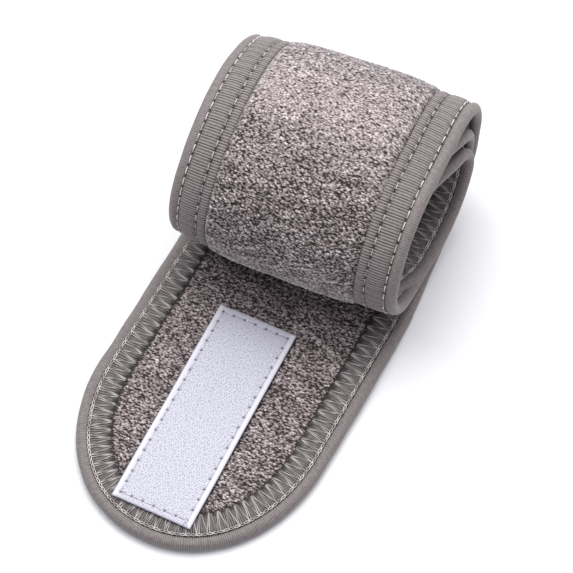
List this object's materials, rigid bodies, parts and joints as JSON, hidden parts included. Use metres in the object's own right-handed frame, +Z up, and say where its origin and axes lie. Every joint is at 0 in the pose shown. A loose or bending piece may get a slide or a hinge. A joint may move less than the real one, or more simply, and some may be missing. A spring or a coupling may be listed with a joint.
{
  "type": "spa headband",
  "caption": "Rolled terry spa headband with a ribbed bound edge and an open, round-ended flap carrying a hook tape.",
  "frame": {"origin": "on the surface the band lies on, at mid width, where the flat stretch goes under the roll", "axes": "+X across the band to its right edge, +Y along the band from the flap's tip towards the roll, +Z up"},
  "size_m": [0.0919, 0.1837, 0.0705],
  "materials": {
    "terry": "looped microfibre terry, taupe grey",
    "binding": "ribbed knit binding, grey taupe",
    "seam_thread": "spun polyester thread, light grey",
    "hook_tape": "woven nylon tape with fine moulded hooks, lavender white",
    "tape_thread": "polyester thread, pale lavender"
  },
  "bodies": {
    "base": {"base_binding_left": "binding", "base_binding_right": "binding", "base_edge_needle_thread_left": "seam_thread", "base_edge_needle_thread_right": "seam_thread", "base_field_needle_thread_left": "seam_thread", "base_field_needle_thread_right": "seam_thread", "base_inner_terry": "terry", "base_looper_thread_left": "seam_thread", "base_looper_thread_right": "seam_thread", "base_outer_terry": "terry"},
    "flap": {"flap_binding": "binding", "flap_edge_needle_thread": "seam_thread", "flap_field_needle_thread": "seam_thread", "flap_inner_terry": "terry", "flap_looper_thread": "seam_thread", "flap_outer_terry": "terry", "hook_tape": "hook_tape", "hook_tape_thread": "tape_thread"},
    "roll": {"roll_binding_left": "binding", "roll_binding_right": "binding", "roll_edge_needle_thread_left": "seam_thread", "roll_edge_needle_thread_right": "seam_thread", "roll_field_needle_thread_left": "seam_thread", "roll_field_needle_thread_right": "seam_thread", "roll_inner_terry_1": "terry", "roll_inner_terry_2": "terry", "roll_inner_terry_3": "terry", "roll_looper_thread_left": "seam_thread", "roll_looper_thread_right": "seam_thread", "roll_outer_terry_1": "terry", "roll_outer_terry_2": "terry", "roll_outer_terry_3": "terry"}
  },
  "joints": [
    {"name": "flap_fold", "type": "hinge", "parent": "base", "child": "flap", "pos_m": [0, -0.016, 0.0046], "axis": [-1, 0, 0], "range_deg": [0, 82]},
    {"name": "roll_lift", "type": "hinge", "parent": "base", "child": "roll", "pos_m": [-0.00302, 0.06188, 0.01609], "axis": [-0.9976, -0.0698, 0], "range_deg": [0, 40]}
  ]
}
